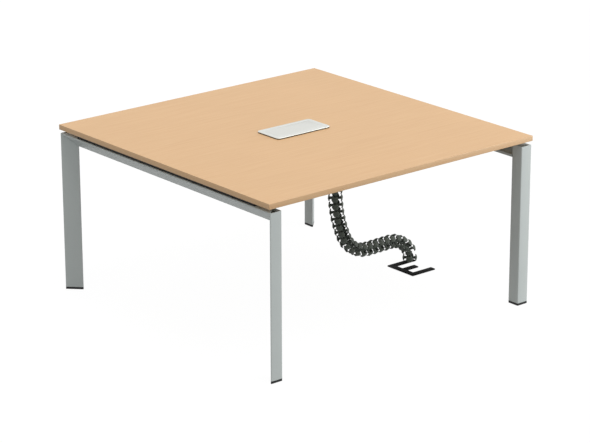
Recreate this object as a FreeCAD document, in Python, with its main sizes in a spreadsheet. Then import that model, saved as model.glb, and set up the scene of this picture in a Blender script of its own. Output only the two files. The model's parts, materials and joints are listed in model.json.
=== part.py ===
import FreeCAD, Part
import math
import os
import re

import Sketcher
from FreeCAD import Placement, Rotation, Vector

# Driving dimensions in millimetres (angles in degrees). The origin is on the floor, under the
# middle of the top: X runs along the table's front edge, Y away from it and Z up.
SIZES = {
    # table top
    "top_side": 1400,
    "table_height": 735,
    "top_thickness": 22,
    "band_thickness": 2,
    # side frames of three-sided tube
    "top_gap": 16,
    "frame_inset": 1,
    "tube_side": 60,
    "tube_wall": 2.5,
    "tube_radius": 3.5,
    "upper_lip": 12,
    "lower_lip": 16,
    # feet
    "foot_height": 7,
    "plug_flange": 3,
    "plug_depth": 30,
    "plug_clearance": 0.2,
    "stud_radius": 4,
    "stud_reach": 38,
    "stud_head_radius": 6.5,
    "stud_head_height": 4,
    "stud_clearance": 0.3,
    "head_ledge": 1.3,
    "thread_clearance": 0.05,
    "key_width": 5,
    "key_depth": 3,
    # cross beams and their fastening to the rails
    "beam_offset": 420,
    "beam_height": 50,
    "beam_depth": 25,
    "beam_wall": 2,
    "plate_thickness": 6,
    "plate_length": 90,
    "plate_height": 52,
    "clamp_thickness": 6,
    "clamp_overlap": 3,
    "bolt_radius": 4,
    "bolt_spread": 30,
    "bolt_head_radius": 6.5,
    "bolt_head_height": 6,
    "bolt_tip": 2,
    "hole_clearance": 0.4,
    # spacers and wood screws between rails and top
    "screw_line": 36,
    "screw_near": 180,
    "screw_far": 560,
    "spacer_radius": 16,
    "screw_radius": 2.9,
    "screw_head_radius": 6,
    "screw_head_height": 4,
    "screw_bite": 14,
    # power box
    "bezel_length": 284,
    "bezel_width": 144,
    "bezel_height": 6,
    "bezel_radius": 15,
    "bezel_bevel": 3,
    "bezel_frame": 20,
    "bezel_ledge": 3,
    "lid_thickness": 4,
    "lid_clearance": 1,
    "hinge_inset": 4,
    "hinge_depth": 2.4,
    "rod_radius": 1.5,
    "rod_reach": 6,
    "flange_thickness": 1.2,
    "flange_inset": 1,
    "cutout_margin": 12,
    "well_clearance": 1,
    "well_depth": 82,
    "well_wall": 1.5,
    "exit_width": 60,
    "exit_height": 30,
    "exit_sill": 8,
    "strip_length": 222,
    "strip_width": 50,
    "strip_height": 34,
    "strip_gap": 2,
    "outlet_radius": 19,
    "outlet_depth": 12,
    "outlet_spacing": 46,
    "pin_radius": 2.4,
    "pin_spacing": 19,
    "pin_depth": 10,
    "port_width": 15,
    "port_height": 12,
    "port_depth": 9,
    "port_spacing": 24,
    "port_margin": 18,
    # cable spine
    "spine_across": 232,
    "spine_back": 6,
    "hanger_length": 44,
    "hanger_taper": 26,
    "hanger_radius": 35,
    "hanger_thickness": 4,
    "hanger_screws": 26,
    "link_gap": 8,
    "link_radius": 32.5,
    "lobe_thickness": 4,
    "lobe_width": 28,
    "lobe_flat": 14,
    "lobe_cut": 7,
    "web_thickness": 3,
    "web_height": 12,
    "hub_width": 16,
    "socket_radius": 6.5,
    "bead_radius": 3.5,
    "bead_flat": 2.6,
    "bead_clearance": 0.1,
    "stem_width": 8,
    "neck_width": 4,
    "neck_length": 7,
    "swing_limit": 22,
    "swing_clearance": 0.3,
    "lean_step": 3.65,
    "run_angle": 91,
    "drop_step": 14.6,
    # foot plate of the spine
    "clip_joint_height": 45,
    "clip_lobe_height": 19,
    "clip_radius": 14,
    "clip_thickness": 3,
    "plate_steel": 5,
    "prong_width": 28,
    "prong_tip": 24,
    "first_prong": 144,
    "middle_prong": 97,
    "last_prong": 133,
    "foot_span": 166,
}

# Counts of like features, and the flat sides that round pieces and hidden fasteners are drawn with.
OUTLETS = 3
PORTS = 2
LOBES = 4
ROUND_SIDES = 12
SOCKET_SIDES = 8
FASTENER_SIDES = 6

# The spine hangs straight, leans out, sweeps round to run level and drops to its foot.
STRAIGHT_LINKS = 8
LEAN_LINKS = 7
SWEEP_LINKS = 5
RUN_LINKS = 4
DROP_LINKS = 4

# The turn of the spine's lobes from the table's sides, and how near two places are to count as one.
LOBE_TURN = 45
SAME_PLACE = 1e-4

UNDERSIDE = "(table_height - top_thickness)"
FRAME_TOP = "(table_height - top_thickness - top_gap)"
FRAME_OUT = "(top_side / 2 - frame_inset)"
FRAME_IN = "(top_side / 2 - frame_inset - tube_side)"
LEG_BOTTOM = "(foot_height + plug_flange)"
BOARD_HALF = "(top_side / 2 - band_thickness)"
SLOT_MIDDLE = f"({FRAME_TOP} - (tube_side + upper_lip - lower_lip) / 2)"

ACROSS = Vector(1, 0, 0)
DEEP = Vector(0, 1, 0)
UP = Vector(0, 0, 1)

doc = FreeCAD.newDocument("meeting_table")
sheet = doc.addObject("Spreadsheet::Sheet", "Sizes")
for row, (alias, number) in enumerate(SIZES.items(), start=1):
    sheet.set(f"A{row}", alias)
    sheet.set(f"B{row}", str(number))
    sheet.setAlias(f"B{row}", alias)
doc.recompute()


def spine_angles():
    """Each link's angle from straight down."""
    lean, run, drop = SIZES["lean_step"], SIZES["run_angle"], SIZES["drop_step"]
    sweep = (run - lean * LEAN_LINKS) / SWEEP_LINKS
    angles = [0.0] * STRAIGHT_LINKS
    angles += [lean * (n + 1) for n in range(LEAN_LINKS)]
    angles += [lean * LEAN_LINKS + sweep * (n + 1) for n in range(SWEEP_LINKS)]
    angles += [run] * RUN_LINKS
    return angles + [run - drop * (n + 1) for n in range(DROP_LINKS)]


# The links' pitch is such that the spine reaches from its hanger to its clip.
FALL = sum(math.cos(math.radians(angle)) for angle in spine_angles())
pitch_row = len(SIZES) + 1
sheet.set(f"A{pitch_row}", "link_pitch")
sheet.set(f"B{pitch_row}", f"=(table_height - top_thickness - hanger_length - clip_joint_height) / {FALL}")
sheet.setAlias(f"B{pitch_row}", "link_pitch")
doc.recompute()


def formula(text):
    """Every name in a formula is a cell of the sheet."""
    return re.sub(r"\b[a-z]+(?:_[a-z]+)+\b", lambda name: "Sizes." + name.group(), text)


def value(text):
    result = sheet.evalExpression(formula(text))
    return float(getattr(result, "Value", result))


def bind(thing, name, text):
    thing.setExpression(name, formula(text))


def negative(text):
    return f"-({text})"


# Features


def new_body(label):
    body = doc.addObject("PartDesign::Body", label)
    body.Label = label
    body.AllowCompound = True
    return body


def sketch_on(body, role, depth="0", turn=0):
    """A sketch on one of the body's own planes, moved along its normal and turned about Z."""
    sketch = body.newObject("Sketcher::SketchObject", body.Name + "_sketch")
    plane = next(item for item in body.Origin.OriginFeatures if item.Role == role)
    sketch.AttachmentSupport = (plane, [""])
    sketch.MapMode = "FlatFace"
    sketch.AttachmentOffset = Placement(Vector(0, 0, value(depth)), Rotation(Vector(0, 1, 0), turn))
    bind(sketch, "AttachmentOffset.Base.z", depth)
    return sketch


def set_point(sketch, edge, spot, x, y):
    for kind, text in (("DistanceX", x), ("DistanceY", y)):
        rule = sketch.addConstraint(Sketcher.Constraint(kind, -1, 1, edge, spot, value(text)))
        bind(sketch, f"Constraints[{rule}]", text)


def add_loop(sketch, corners):
    """A closed outline of straight sides; each corner is a pair of formulas."""
    first = sketch.GeometryCount
    spots = [Vector(value(x), value(y), 0) for x, y in corners]
    for here, there in zip(spots, spots[1:] + spots[:1]):
        sketch.addGeometry(Part.LineSegment(here, there))
    for number, (x, y) in enumerate(corners):
        following = first + (number + 1) % len(corners)
        sketch.addConstraint(Sketcher.Constraint("Coincident", first + number, 2, following, 1))
        set_point(sketch, first + number, 1, x, y)
    return sketch


def add_rectangle(sketch, length, width, x="0", y="0"):
    left, right = f"{x} - {length} / 2", f"{x} + {length} / 2"
    low, high = f"{y} - {width} / 2", f"{y} + {width} / 2"
    return add_loop(sketch, [(left, low), (right, low), (right, high), (left, high)])


def add_round(sketch, radius, x="0", y="0", sides=ROUND_SIDES, hole=False):
    """A round outline of flat sides: the corners of a pin, or the flats of a hole, lie on the radius."""
    reach = f"({radius}) / cos({180 / sides} deg)" if hole else f"({radius})"
    turns = [f"{360 * number / sides} deg" for number in range(sides)]
    corners = [(f"{x} + {reach} * cos({turn})", f"{y} + {reach} * sin({turn})") for turn in turns]
    return add_loop(sketch, corners)


def add_circle(sketch, radius, x, y):
    circle = sketch.addGeometry(Part.Circle(Vector(value(x), value(y), 0), UP, value(radius)))
    set_point(sketch, circle, 3, x, y)
    rule = sketch.addConstraint(Sketcher.Constraint("Radius", circle, value(radius)))
    bind(sketch, f"Constraints[{rule}]", radius)
    return sketch


def pad(body, sketch, length, both_ways=False):
    feature = body.newObject("PartDesign::Pad", body.Name + "_pad")
    feature.Profile = sketch
    feature.SideType = "Symmetric" if both_ways else "One side"
    bind(feature, "Length", length)
    return feature


def pocket(body, sketch, length=None, both_ways=False, forward=False):
    """A cut against the sketch's normal, or along it when forward; with no length it goes right through."""
    feature = body.newObject("PartDesign::Pocket", body.Name + "_pocket")
    feature.Profile = sketch
    feature.SideType = "Symmetric" if both_ways else "One side"
    feature.Reversed = forward
    if length is None:
        feature.Type = "ThroughAll"
    else:
        bind(feature, "Length", length)
    return feature


def pad_rounds(body, role, depth, radius, spots, length, sides=FASTENER_SIDES):
    """A round boss at each spot."""
    for x, y in spots:
        pad(body, add_round(sketch_on(body, role, depth), radius, x, y, sides), length)


def pocket_rounds(body, role, depth, radius, spots, length=None, sides=FASTENER_SIDES):
    """A round hole at each spot."""
    for x, y in spots:
        pocket(body, add_round(sketch_on(body, role, depth), radius, x, y, sides, hole=True), length)


def along(edge, direction):
    """Whether an edge is a straight line parallel to a direction."""
    if edge.Curve.TypeId != "Part::GeomLine":
        return False
    return edge.Curve.Direction.cross(direction).Length < SAME_PLACE


def dress(body, kind, size_name, text, picked):
    """A fillet or chamfer on the tip's edges that the picked test accepts."""
    doc.recompute()
    base = body.Tip
    names = [f"Edge{n}" for n, edge in enumerate(base.Shape.Edges, start=1) if picked(edge)]
    feature = body.newObject(kind, body.Name + "_dress")
    feature.Base = (base, names)
    bind(feature, size_name, text)
    return feature


def edges_through(direction, spots):
    """A test for the edges parallel to a direction that pass through the given spots."""
    corners = [Vector(*(value(text) for text in spot)) for spot in spots]

    def picked(edge):
        if not along(edge, direction):
            return False
        start = edge.Vertexes[0].Point
        return any((corner - start).cross(direction).Length < SAME_PLACE for corner in corners)

    return picked


def fillet(body, radius, direction, spots):
    return dress(body, "PartDesign::Fillet", "Radius", radius, edges_through(direction, spots))


def chamfer(body, size, direction, spots):
    return dress(body, "PartDesign::Chamfer", "Size", size, edges_through(direction, spots))


def mirrored(source, label, normal):
    copy = doc.addObject("Part::Mirroring", label)
    copy.Label = label
    copy.Source = source
    copy.Normal = normal
    return copy


def group(label, pieces):
    compound = doc.addObject("Part::Compound", label)
    compound.Label = label
    compound.Links = pieces
    return compound


def at_four_corners(label, source):
    """The same piece at the four corners, as separate solids of one node."""
    rear = mirrored(source, label + "_rear", DEEP)
    right = mirrored(source, label + "_right", ACROSS)
    far = mirrored(rear, label + "_far", ACROSS)
    return group(label, [source, rear, right, far])


def four_nodes(name, source):
    """The left front piece and its three mirrored ones, each a node of its own."""
    rear = mirrored(source, f"left_rear_{name}", DEEP)
    right = mirrored(source, f"right_front_{name}", ACROSS)
    far = mirrored(rear, f"right_rear_{name}", ACROSS)
    return [source, rear, right, far]


# Table top


SCREW_SPOTS = [
    (f"{side} * ({FRAME_OUT} - screw_line)", f"{end} * {place}")
    for side in (-1, 1)
    for end in (-1, 1)
    for place in ("screw_near", "screw_far")
]
HANGER_SPOTS = [
    (f"spine_across + hanger_screws * cos({turn} deg)", f"spine_back + hanger_screws * sin({turn} deg)")
    for turn in (90, 210, 330)
]
CUTOUT_LENGTH = "(bezel_length - 2 * cutout_margin)"
CUTOUT_WIDTH = "(bezel_width - 2 * cutout_margin)"


def table_top():
    body = new_body("table_top")
    plan = sketch_on(body, "XY_Plane", UNDERSIDE)
    pad(body, add_rectangle(plan, f"2 * {BOARD_HALF}", f"2 * {BOARD_HALF}"), "top_thickness")
    pocket(body, add_rectangle(sketch_on(body, "XY_Plane", "table_height"), CUTOUT_LENGTH, CUTOUT_WIDTH))
    hole = "screw_radius + thread_clearance"
    hole_end = f"{UNDERSIDE} + screw_bite"
    pocket_rounds(body, "XY_Plane", hole_end, hole, SCREW_SPOTS + HANGER_SPOTS, "screw_bite")
    return body


def edge_bands():
    """Two bands run the full side, and two fit between them."""
    front = new_body("front_band")
    outline = sketch_on(front, "XY_Plane", UNDERSIDE)
    place = f"-{BOARD_HALF} - band_thickness / 2"
    pad(front, add_rectangle(outline, "top_side", "band_thickness", "0", place), "top_thickness")
    left = new_body("left_band")
    outline = sketch_on(left, "XY_Plane", UNDERSIDE)
    pad(left, add_rectangle(outline, "band_thickness", f"2 * {BOARD_HALF}", place), "top_thickness")
    rear = mirrored(front, "rear_band", DEEP)
    right = mirrored(left, "right_band", ACROSS)
    return group("edge_bands", [front, rear, left, right])


# Side frames


def three_sided(inset):
    """The leg's three-sided outline, or one that lies inside it by an inset on every side."""
    side = f"(tube_side - (2 + sqrt(2)) * ({inset}))"
    x, y = f"(-{FRAME_IN} - ({inset}))", f"(-{FRAME_OUT} + ({inset}))"
    return [(f"{x} - {side}", y), (x, y), (x, f"{y} + {side}")]


def on_floor(outline):
    return [(x, y, "0") for x, y in outline]


def left_front_leg():
    """A closed three-sided tube, its top mitred to meet the rail."""
    body = new_body("left_front_leg")
    outline = add_loop(sketch_on(body, "XY_Plane", LEG_BOTTOM), three_sided("0"))
    add_loop(outline, three_sided("tube_wall"))
    pad(body, outline, f"{FRAME_TOP} - {LEG_BOTTOM}")
    fillet(body, "tube_radius", UP, on_floor(three_sided("0")))
    spare = "tube_wall"
    low, high = f"{FRAME_TOP} - tube_side - {spare}", f"{FRAME_TOP} + {spare}"
    outside, inside = f"-{FRAME_OUT} - {spare}", f"-{FRAME_IN} + {spare}"
    pocket(body, add_loop(sketch_on(body, "YZ_Plane"), [(outside, high), (inside, low), (inside, high)]))
    return body


def left_rail():
    """The same three-sided outline, open along its inner side so that the screws can be reached."""
    body = new_body("left_rail")
    outer, inner, wall = negative(FRAME_OUT), negative(FRAME_IN), "tube_wall"
    bottom = f"({FRAME_TOP} - tube_side)"
    offset = f"(1 + sqrt(2)) * {wall}"
    outline = [
        (outer, FRAME_TOP),
        (inner, FRAME_TOP),
        (inner, f"{FRAME_TOP} - upper_lip"),
        (f"{inner} - {wall}", f"{FRAME_TOP} - upper_lip"),
        (f"{inner} - {wall}", f"{FRAME_TOP} - {wall}"),
        (f"{outer} + {offset}", f"{FRAME_TOP} - {wall}"),
        (f"{inner} - {wall}", f"{bottom} + {offset}"),
        (f"{inner} - {wall}", f"{bottom} + lower_lip"),
        (inner, f"{bottom} + lower_lip"),
        (inner, bottom),
    ]
    pad(body, add_loop(sketch_on(body, "XZ_Plane"), outline), f"2 * {FRAME_OUT}", both_ways=True)
    fillet(body, "tube_radius", DEEP, [(x, "0", z) for x, z in (outline[0], outline[1], outline[-1])])
    spare = "tube_wall"
    low, high = f"{bottom} - {spare}", f"{FRAME_TOP} + {spare}"
    mitres = sketch_on(body, "YZ_Plane")
    for end in ("-1", "1"):
        outside, inside = f"{end} * ({FRAME_OUT} + {spare})", f"{end} * ({FRAME_IN} - {spare})"
        add_loop(mitres, [(outside, high), (outside, low), (inside, low)])
    pocket(body, mitres)
    left_spots = SCREW_SPOTS[:len(SCREW_SPOTS) // 2]
    pocket_rounds(body, "XY_Plane", FRAME_TOP, "screw_radius + hole_clearance", left_spots, "2 * tube_wall")
    return body


def top_spacers():
    body = new_body("top_spacers")
    pad_rounds(body, "XY_Plane", FRAME_TOP, "spacer_radius", SCREW_SPOTS, "top_gap", ROUND_SIDES)
    pocket_rounds(body, "XY_Plane", UNDERSIDE, "screw_radius + hole_clearance", SCREW_SPOTS)
    return body


def top_screws():
    """Wood screws through the rails and spacers, and three through the spine's hanger."""
    body = new_body("top_screws")
    for spots, seat, shank in (
        (SCREW_SPOTS, f"({FRAME_TOP} - tube_wall)", "tube_wall + top_gap + screw_bite"),
        (HANGER_SPOTS, f"({UNDERSIDE} - hanger_thickness)", "hanger_thickness + screw_bite"),
    ):
        head = f"{seat} - screw_head_height"
        pad_rounds(body, "XY_Plane", head, "screw_head_radius", spots, "screw_head_height")
        pad_rounds(body, "XY_Plane", seat, "screw_radius", spots, shank)
    return body


# Cross beams and their fastening


BOLT_SPOTS = [(f"-beam_offset + {end} * bolt_spread", SLOT_MIDDLE) for end in (-1, 1)]
RAIL_FACE = negative(FRAME_IN)


def front_beam():
    body = new_body("front_beam")
    section = sketch_on(body, "YZ_Plane")
    add_rectangle(section, "beam_depth", "beam_height", "-beam_offset", SLOT_MIDDLE)
    add_rectangle(section, "(beam_depth - 2 * beam_wall)", "(beam_height - 2 * beam_wall)",
                  "-beam_offset", SLOT_MIDDLE)
    pad(body, section, f"2 * ({FRAME_IN} - plate_thickness)", both_ways=True)
    return body


def beam_end_plate():
    body = new_body("end_plate")
    section = sketch_on(body, "YZ_Plane", RAIL_FACE)
    add_rectangle(section, "plate_length", "plate_height", "-beam_offset", SLOT_MIDDLE)
    pad(body, section, "plate_thickness")
    inner_face = f"{RAIL_FACE} + plate_thickness"
    pocket_rounds(body, "YZ_Plane", inner_face, "bolt_radius + hole_clearance", BOLT_SPOTS)
    return body


def clamp_bar():
    """A bar inside the rail that bears on the two lips of its slot."""
    body = new_body("clamp")
    section = sketch_on(body, "YZ_Plane", f"{RAIL_FACE} - tube_wall - clamp_thickness")
    slot = "(tube_side - upper_lip - lower_lip)"
    add_rectangle(section, "plate_length", f"({slot} + 2 * clamp_overlap)", "-beam_offset", SLOT_MIDDLE)
    pad(body, section, "clamp_thickness")
    inner_face = f"{RAIL_FACE} - tube_wall"
    pocket_rounds(body, "YZ_Plane", inner_face, "bolt_radius + thread_clearance", BOLT_SPOTS)
    return body


def beam_bolts():
    body = new_body("bolts")
    tip = f"{RAIL_FACE} - tube_wall - clamp_thickness - bolt_tip"
    shank = "bolt_tip + clamp_thickness + tube_wall + plate_thickness"
    pad_rounds(body, "YZ_Plane", tip, "bolt_radius", BOLT_SPOTS, shank)
    seat = f"{RAIL_FACE} + plate_thickness"
    pad_rounds(body, "YZ_Plane", seat, "bolt_head_radius", BOLT_SPOTS, "bolt_head_height")
    return body


# Feet


# The stud stands where the circle that touches all three sides has its centre.
STUD_IN = "tube_side * (1 - sqrt(0.5))"
STUD = (f"-{FRAME_IN} - {STUD_IN}", f"-{FRAME_OUT} + {STUD_IN}")
HEAD_SEAT = "(foot_height - stud_clearance - stud_head_height)"


def foot_slab(body, depth, height):
    """A slab with the leg's outline, its corners cut as far back as the tube's are rounded."""
    outline = three_sided("0")
    pad(body, add_loop(sketch_on(body, "XY_Plane", depth), outline), height)
    sharp, square, other = on_floor(outline)
    chamfer(body, "tube_radius * (1 / sin(22.5 deg) - 1) / cos(22.5 deg)", UP, [sharp, other])
    chamfer(body, "tube_radius * (2 - sqrt(2))", UP, [square])


def leg_plug():
    """A plug inside the end of the leg, with a flange under the tube and a threaded bore."""
    body = new_body("plug")
    inner = three_sided("tube_wall + plug_clearance")
    foot_slab(body, "foot_height", "plug_flange")
    pad(body, add_loop(sketch_on(body, "XY_Plane", LEG_BOTTOM), inner), "plug_depth")
    bore = sketch_on(body, "XY_Plane", f"{LEG_BOTTOM} + plug_depth")
    pocket(body, add_round(bore, "stud_radius + thread_clearance", *STUD, hole=True))
    return body


def left_front_foot():
    """The pad on the floor: it holds the stud's head, which a key reaches from below."""
    body = new_body("left_front_foot")
    foot_slab(body, "0", "foot_height")
    room = sketch_on(body, "XY_Plane", "foot_height")
    add_round(room, "stud_head_radius + stud_clearance", *STUD, hole=True)
    pocket(body, room, f"foot_height - {HEAD_SEAT}")
    key_hole = sketch_on(body, "XY_Plane", "foot_height")
    pocket(body, add_round(key_hole, "stud_head_radius - head_ledge", *STUD))
    return body


def left_front_stud():
    body = new_body("left_front_stud")
    head = sketch_on(body, "XY_Plane", HEAD_SEAT)
    pad(body, add_round(head, "stud_head_radius", *STUD), "stud_head_height")
    shank = sketch_on(body, "XY_Plane", f"{HEAD_SEAT} + stud_head_height")
    pad(body, add_circle(shank, "stud_radius", *STUD), "stud_reach")
    key = sketch_on(body, "XY_Plane", f"{HEAD_SEAT} + key_depth")
    pocket(body, add_round(key, "key_width / 2", *STUD, sides=6, hole=True), "key_depth")
    return body


# Power box


BEZEL_BOTTOM = "(table_height + flange_thickness)"
BEZEL_TOP = "(table_height + flange_thickness + bezel_height)"
OPENING_LENGTH = "(bezel_length - 2 * bezel_frame)"
OPENING_WIDTH = "(bezel_width - 2 * bezel_frame)"
HINGE = (f"({OPENING_WIDTH} / 2 - hinge_inset)", f"({BEZEL_TOP} - hinge_depth)")
WELL_LENGTH = f"({CUTOUT_LENGTH} - 2 * well_clearance)"
WELL_WIDTH = f"({CUTOUT_WIDTH} - 2 * well_clearance)"
WELL_FLOOR = "(table_height - well_depth)"


def rounded_slab(body, depth, length, width, height, radius):
    """A flat slab with rounded corners in plan."""
    pad(body, add_rectangle(sketch_on(body, "XY_Plane", depth), length, width), height)
    corners = [(f"{x} * {length} / 2", f"{y} * {width} / 2", "0") for x in (-1, 1) for y in (-1, 1)]
    fillet(body, radius, UP, corners)


def box_bezel():
    """A bevelled frame with a ledge for the lid on three sides, and bores for the hinge rod."""
    body = new_body("box_bezel")
    rounded_slab(body, BEZEL_BOTTOM, "bezel_length", "bezel_width", "bezel_height", "bezel_radius")
    top = value(BEZEL_TOP)
    dress(body, "PartDesign::Chamfer", "Size", "bezel_bevel",
          lambda edge: abs(edge.BoundBox.ZMin - top) < SAME_PLACE)
    room = sketch_on(body, "XY_Plane", BEZEL_TOP)
    pocket(body, add_rectangle(room, OPENING_LENGTH, OPENING_WIDTH), "lid_thickness")
    through = sketch_on(body, "XY_Plane", BEZEL_TOP)
    add_rectangle(through, f"({OPENING_LENGTH} - 2 * bezel_ledge)", f"({OPENING_WIDTH} - bezel_ledge)",
                  "0", "bezel_ledge / 2")
    pocket(body, through)
    hinge_room = sketch_on(body, "XY_Plane", BEZEL_TOP)
    add_rectangle(hinge_room, OPENING_LENGTH, "2 * hinge_inset", "0", HINGE[0])
    pocket(body, hinge_room)
    bores = add_round(sketch_on(body, "YZ_Plane"), "rod_radius + thread_clearance", *HINGE, hole=True)
    pocket(body, bores, f"{OPENING_LENGTH} + 2 * rod_reach", both_ways=True)
    return body


def box_lid():
    """An extruded flap with a bore along its rear edge for the hinge rod."""
    body = new_body("box_lid")
    plan = sketch_on(body, "XY_Plane", f"{BEZEL_TOP} - lid_thickness")
    add_rectangle(plan, f"({OPENING_LENGTH} - 2 * lid_clearance)", f"({OPENING_WIDTH} - 2 * lid_clearance)")
    pad(body, plan, "lid_thickness")
    bore = add_round(sketch_on(body, "YZ_Plane"), "rod_radius + thread_clearance", *HINGE, hole=True)
    pocket(body, bore, OPENING_LENGTH, both_ways=True)
    return body


def lid_hinge_rod():
    body = new_body("lid_hinge_rod")
    section = add_circle(sketch_on(body, "YZ_Plane"), "rod_radius", *HINGE)
    pad(body, section, f"{OPENING_LENGTH} + 2 * (rod_reach - thread_clearance)", both_ways=True)
    return body


def box_well():
    """A folded well that hangs in the cut-out by its flange, with a way out for cables at one end."""
    body = new_body("box_well")
    length, width = "(bezel_length - 2 * flange_inset)", "(bezel_width - 2 * flange_inset)"
    rounded_slab(body, "table_height", length, width, "flange_thickness", "bezel_radius - flange_inset")
    pad(body, add_rectangle(sketch_on(body, "XY_Plane", WELL_FLOOR), WELL_LENGTH, WELL_WIDTH), "well_depth")
    inside = sketch_on(body, "XY_Plane", BEZEL_BOTTOM)
    add_rectangle(inside, f"({WELL_LENGTH} - 2 * well_wall)", f"({WELL_WIDTH} - 2 * well_wall)")
    pocket(body, inside, "flange_thickness + well_depth - well_wall")
    way_out = sketch_on(body, "YZ_Plane")
    add_rectangle(way_out, "exit_width", "exit_height", f"-{WELL_WIDTH} / 2 + well_wall + exit_width / 2",
                  f"{WELL_FLOOR} + well_wall + exit_sill + exit_height / 2")
    pocket(body, way_out, forward=True)
    return body


def outlet_strip():
    """A moulded strip on the floor of the well, with round outlets and two small ports."""
    body = new_body("outlet_strip")
    middle = f"({WELL_WIDTH} / 2 - well_wall - strip_gap - strip_width / 2)"
    top = f"({WELL_FLOOR} + well_wall + strip_height)"
    plan = sketch_on(body, "XY_Plane", f"{WELL_FLOOR} + well_wall")
    pad(body, add_rectangle(plan, "strip_length", "strip_width", "0", middle), "strip_height")
    left_end = "-strip_length / 2 + outlet_spacing / 2"
    places = [f"({left_end} + outlet_spacing * {number})" for number in range(OUTLETS)]
    recesses = [(x, middle) for x in places]
    pocket_rounds(body, "XY_Plane", top, "outlet_radius", recesses, "outlet_depth", 2 * ROUND_SIDES)
    pins = [(x, f"{middle} + {side} * pin_spacing / 2") for x in places for side in (-1, 1)]
    pocket_rounds(body, "XY_Plane", f"{top} - outlet_depth", "pin_radius", pins, "pin_depth")
    ports = sketch_on(body, "XY_Plane", top)
    for number in range(PORTS):
        add_rectangle(ports, "port_width", "port_height",
                      f"(strip_length / 2 - port_margin - port_spacing * {number})", middle)
    pocket(body, ports, "port_depth")
    return body


# Cable spine


def spine_joints():
    """Each joint's place, from the hanger down to the clip."""
    joints = [Vector(value("spine_across"), value("spine_back"), value(f"{UNDERSIDE} - hanger_length"))]
    for angle in spine_angles():
        turn = math.radians(angle)
        joints.append(joints[-1] + Vector(math.sin(turn), 0, -math.cos(turn)) * value("link_pitch"))
    return joints


def add_bead(body, x, z, depth="0", turn=0):
    """A neck that ends in a round bead with a flat on each side, which lies across the spine."""
    neck = sketch_on(body, "XZ_Plane", depth, turn)
    add_rectangle(neck, "neck_width", "neck_length", x, f"({z} + neck_length / 2)")
    pad(body, neck, "hub_width", both_ways=True)
    bead = add_circle(sketch_on(body, "XZ_Plane", depth, turn), "bead_radius", x, z)
    pad(body, bead, "hub_width", both_ways=True)
    for side in (-1, 1):
        flat = sketch_on(body, "XZ_Plane", depth, turn)
        place = f"({x} + {side} * (bead_flat + bead_radius / 2))"
        add_rectangle(flat, "bead_radius", "2 * bead_radius", place, z)
        pocket(body, flat, "hub_width", both_ways=True)


def add_socket(body, tilt="0"):
    """Cuts the round seat of a bead at the body's origin, with a tilted mouth that lets the neck swing."""
    seat = sketch_on(body, "XZ_Plane", turn=LOBE_TURN)
    add_round(seat, "bead_radius + bead_clearance", sides=SOCKET_SIDES, hole=True)
    pocket(body, seat, "2 * hub_width", both_ways=True)
    narrow = "(neck_width / 2 / cos(swing_limit * 1 deg) + swing_clearance)"
    wide = f"({narrow} + 2 * socket_radius * tan(swing_limit * 1 deg))"
    mouth = [
        (f"-{narrow}", "0"),
        (narrow, "0"),
        (wide, "2 * socket_radius"),
        (f"-{wide}", "2 * socket_radius"),
    ]
    sine, cosine = f"sin({tilt} * 1 deg)", f"cos({tilt} * 1 deg)"
    leaning = [(f"{x} * {cosine} - {z} * {sine}", f"{x} * {sine} + {z} * {cosine}") for x, z in mouth]
    opening = add_loop(sketch_on(body, "XZ_Plane", turn=LOBE_TURN), leaning)
    pocket(body, opening, "2 * hub_width", both_ways=True)


def add_webs(body, middle):
    """A cross of two webs that reach out to the lobes."""
    reach = "2 * (link_radius - lobe_thickness)"
    for length, width in ((reach, "web_thickness"), ("web_thickness", reach)):
        web = sketch_on(body, "XY_Plane", f"{middle} - web_height / 2")
        pad(body, add_rectangle(web, length, width), "web_height")


def add_lobes(body, middle):
    """A ring of flat lobes with cut corners, one at the end of each web."""
    sketch = sketch_on(body, "XZ_Plane", "(link_radius - lobe_thickness)")
    outline = [
        (f"{side} * {across} / 2", f"{middle} + {end} * {height} / 2")
        for end, sides in ((1, (-1, 1)), (-1, (1, -1)))
        for side in sides
        for across, height in ordered_corner(side * end)
    ]
    lobe = pad(body, add_loop(sketch, outline), "lobe_thickness")
    ring = body.newObject("PartDesign::PolarPattern", "lobes")
    ring.Originals = [lobe]
    axis = next(item for item in body.Origin.OriginFeatures if item.Role == "Z_Axis")
    ring.Axis = (axis, [""])
    ring.Angle = 360
    ring.Occurrences = LOBES
    body.Tip = ring


def add_hub(body, foot):
    """The socket's round wall at the origin, and a stem from it down to the given height."""
    hub = sketch_on(body, "XZ_Plane", turn=LOBE_TURN)
    pad(body, add_round(hub, "socket_radius", sides=SOCKET_SIDES), "hub_width", both_ways=True)
    stem = sketch_on(body, "XZ_Plane", turn=LOBE_TURN)
    add_rectangle(stem, "stem_width", f"(0 - {foot})", "0", f"{foot} / 2")
    pad(body, stem, "hub_width", both_ways=True)


def spine_link():
    """One link, with its upper joint at the origin: four lobes on a cross of webs round a hinge hub.

    The hub's joints lie halfway between the lobes, so its sketches are turned."""
    body = new_body("spine_link")
    middle = "(-link_pitch / 2)"
    add_hub(body, "(-link_pitch + neck_length)")
    add_bead(body, "0", "-link_pitch", turn=LOBE_TURN)
    add_webs(body, middle)
    add_socket(body)
    add_lobes(body, middle)
    return body


def ordered_corner(sense):
    """The two ends of a lobe's cut corner, in the order that goes round its outline."""
    height = "(link_pitch - link_gap)"
    ends = [("lobe_width", f"({height} - lobe_cut)"), ("lobe_flat", height)]
    return ends if sense < 0 else ends[::-1]


def spine_links(master, joints):
    """Copies of the link, each hung from the bead of the one above."""
    doc.recompute()
    links = []
    for number, (joint, angle) in enumerate(zip(joints, spine_angles()), start=1):
        link = doc.addObject("Part::Feature", f"spine_link_{number:02d}")
        link.Label = link.Name
        link.Shape = master.Shape.copy()
        link.Placement = Placement(joint, Rotation(DEEP, -angle) * Rotation(UP, -LOBE_TURN))
        links.append(link)
    return links


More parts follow.
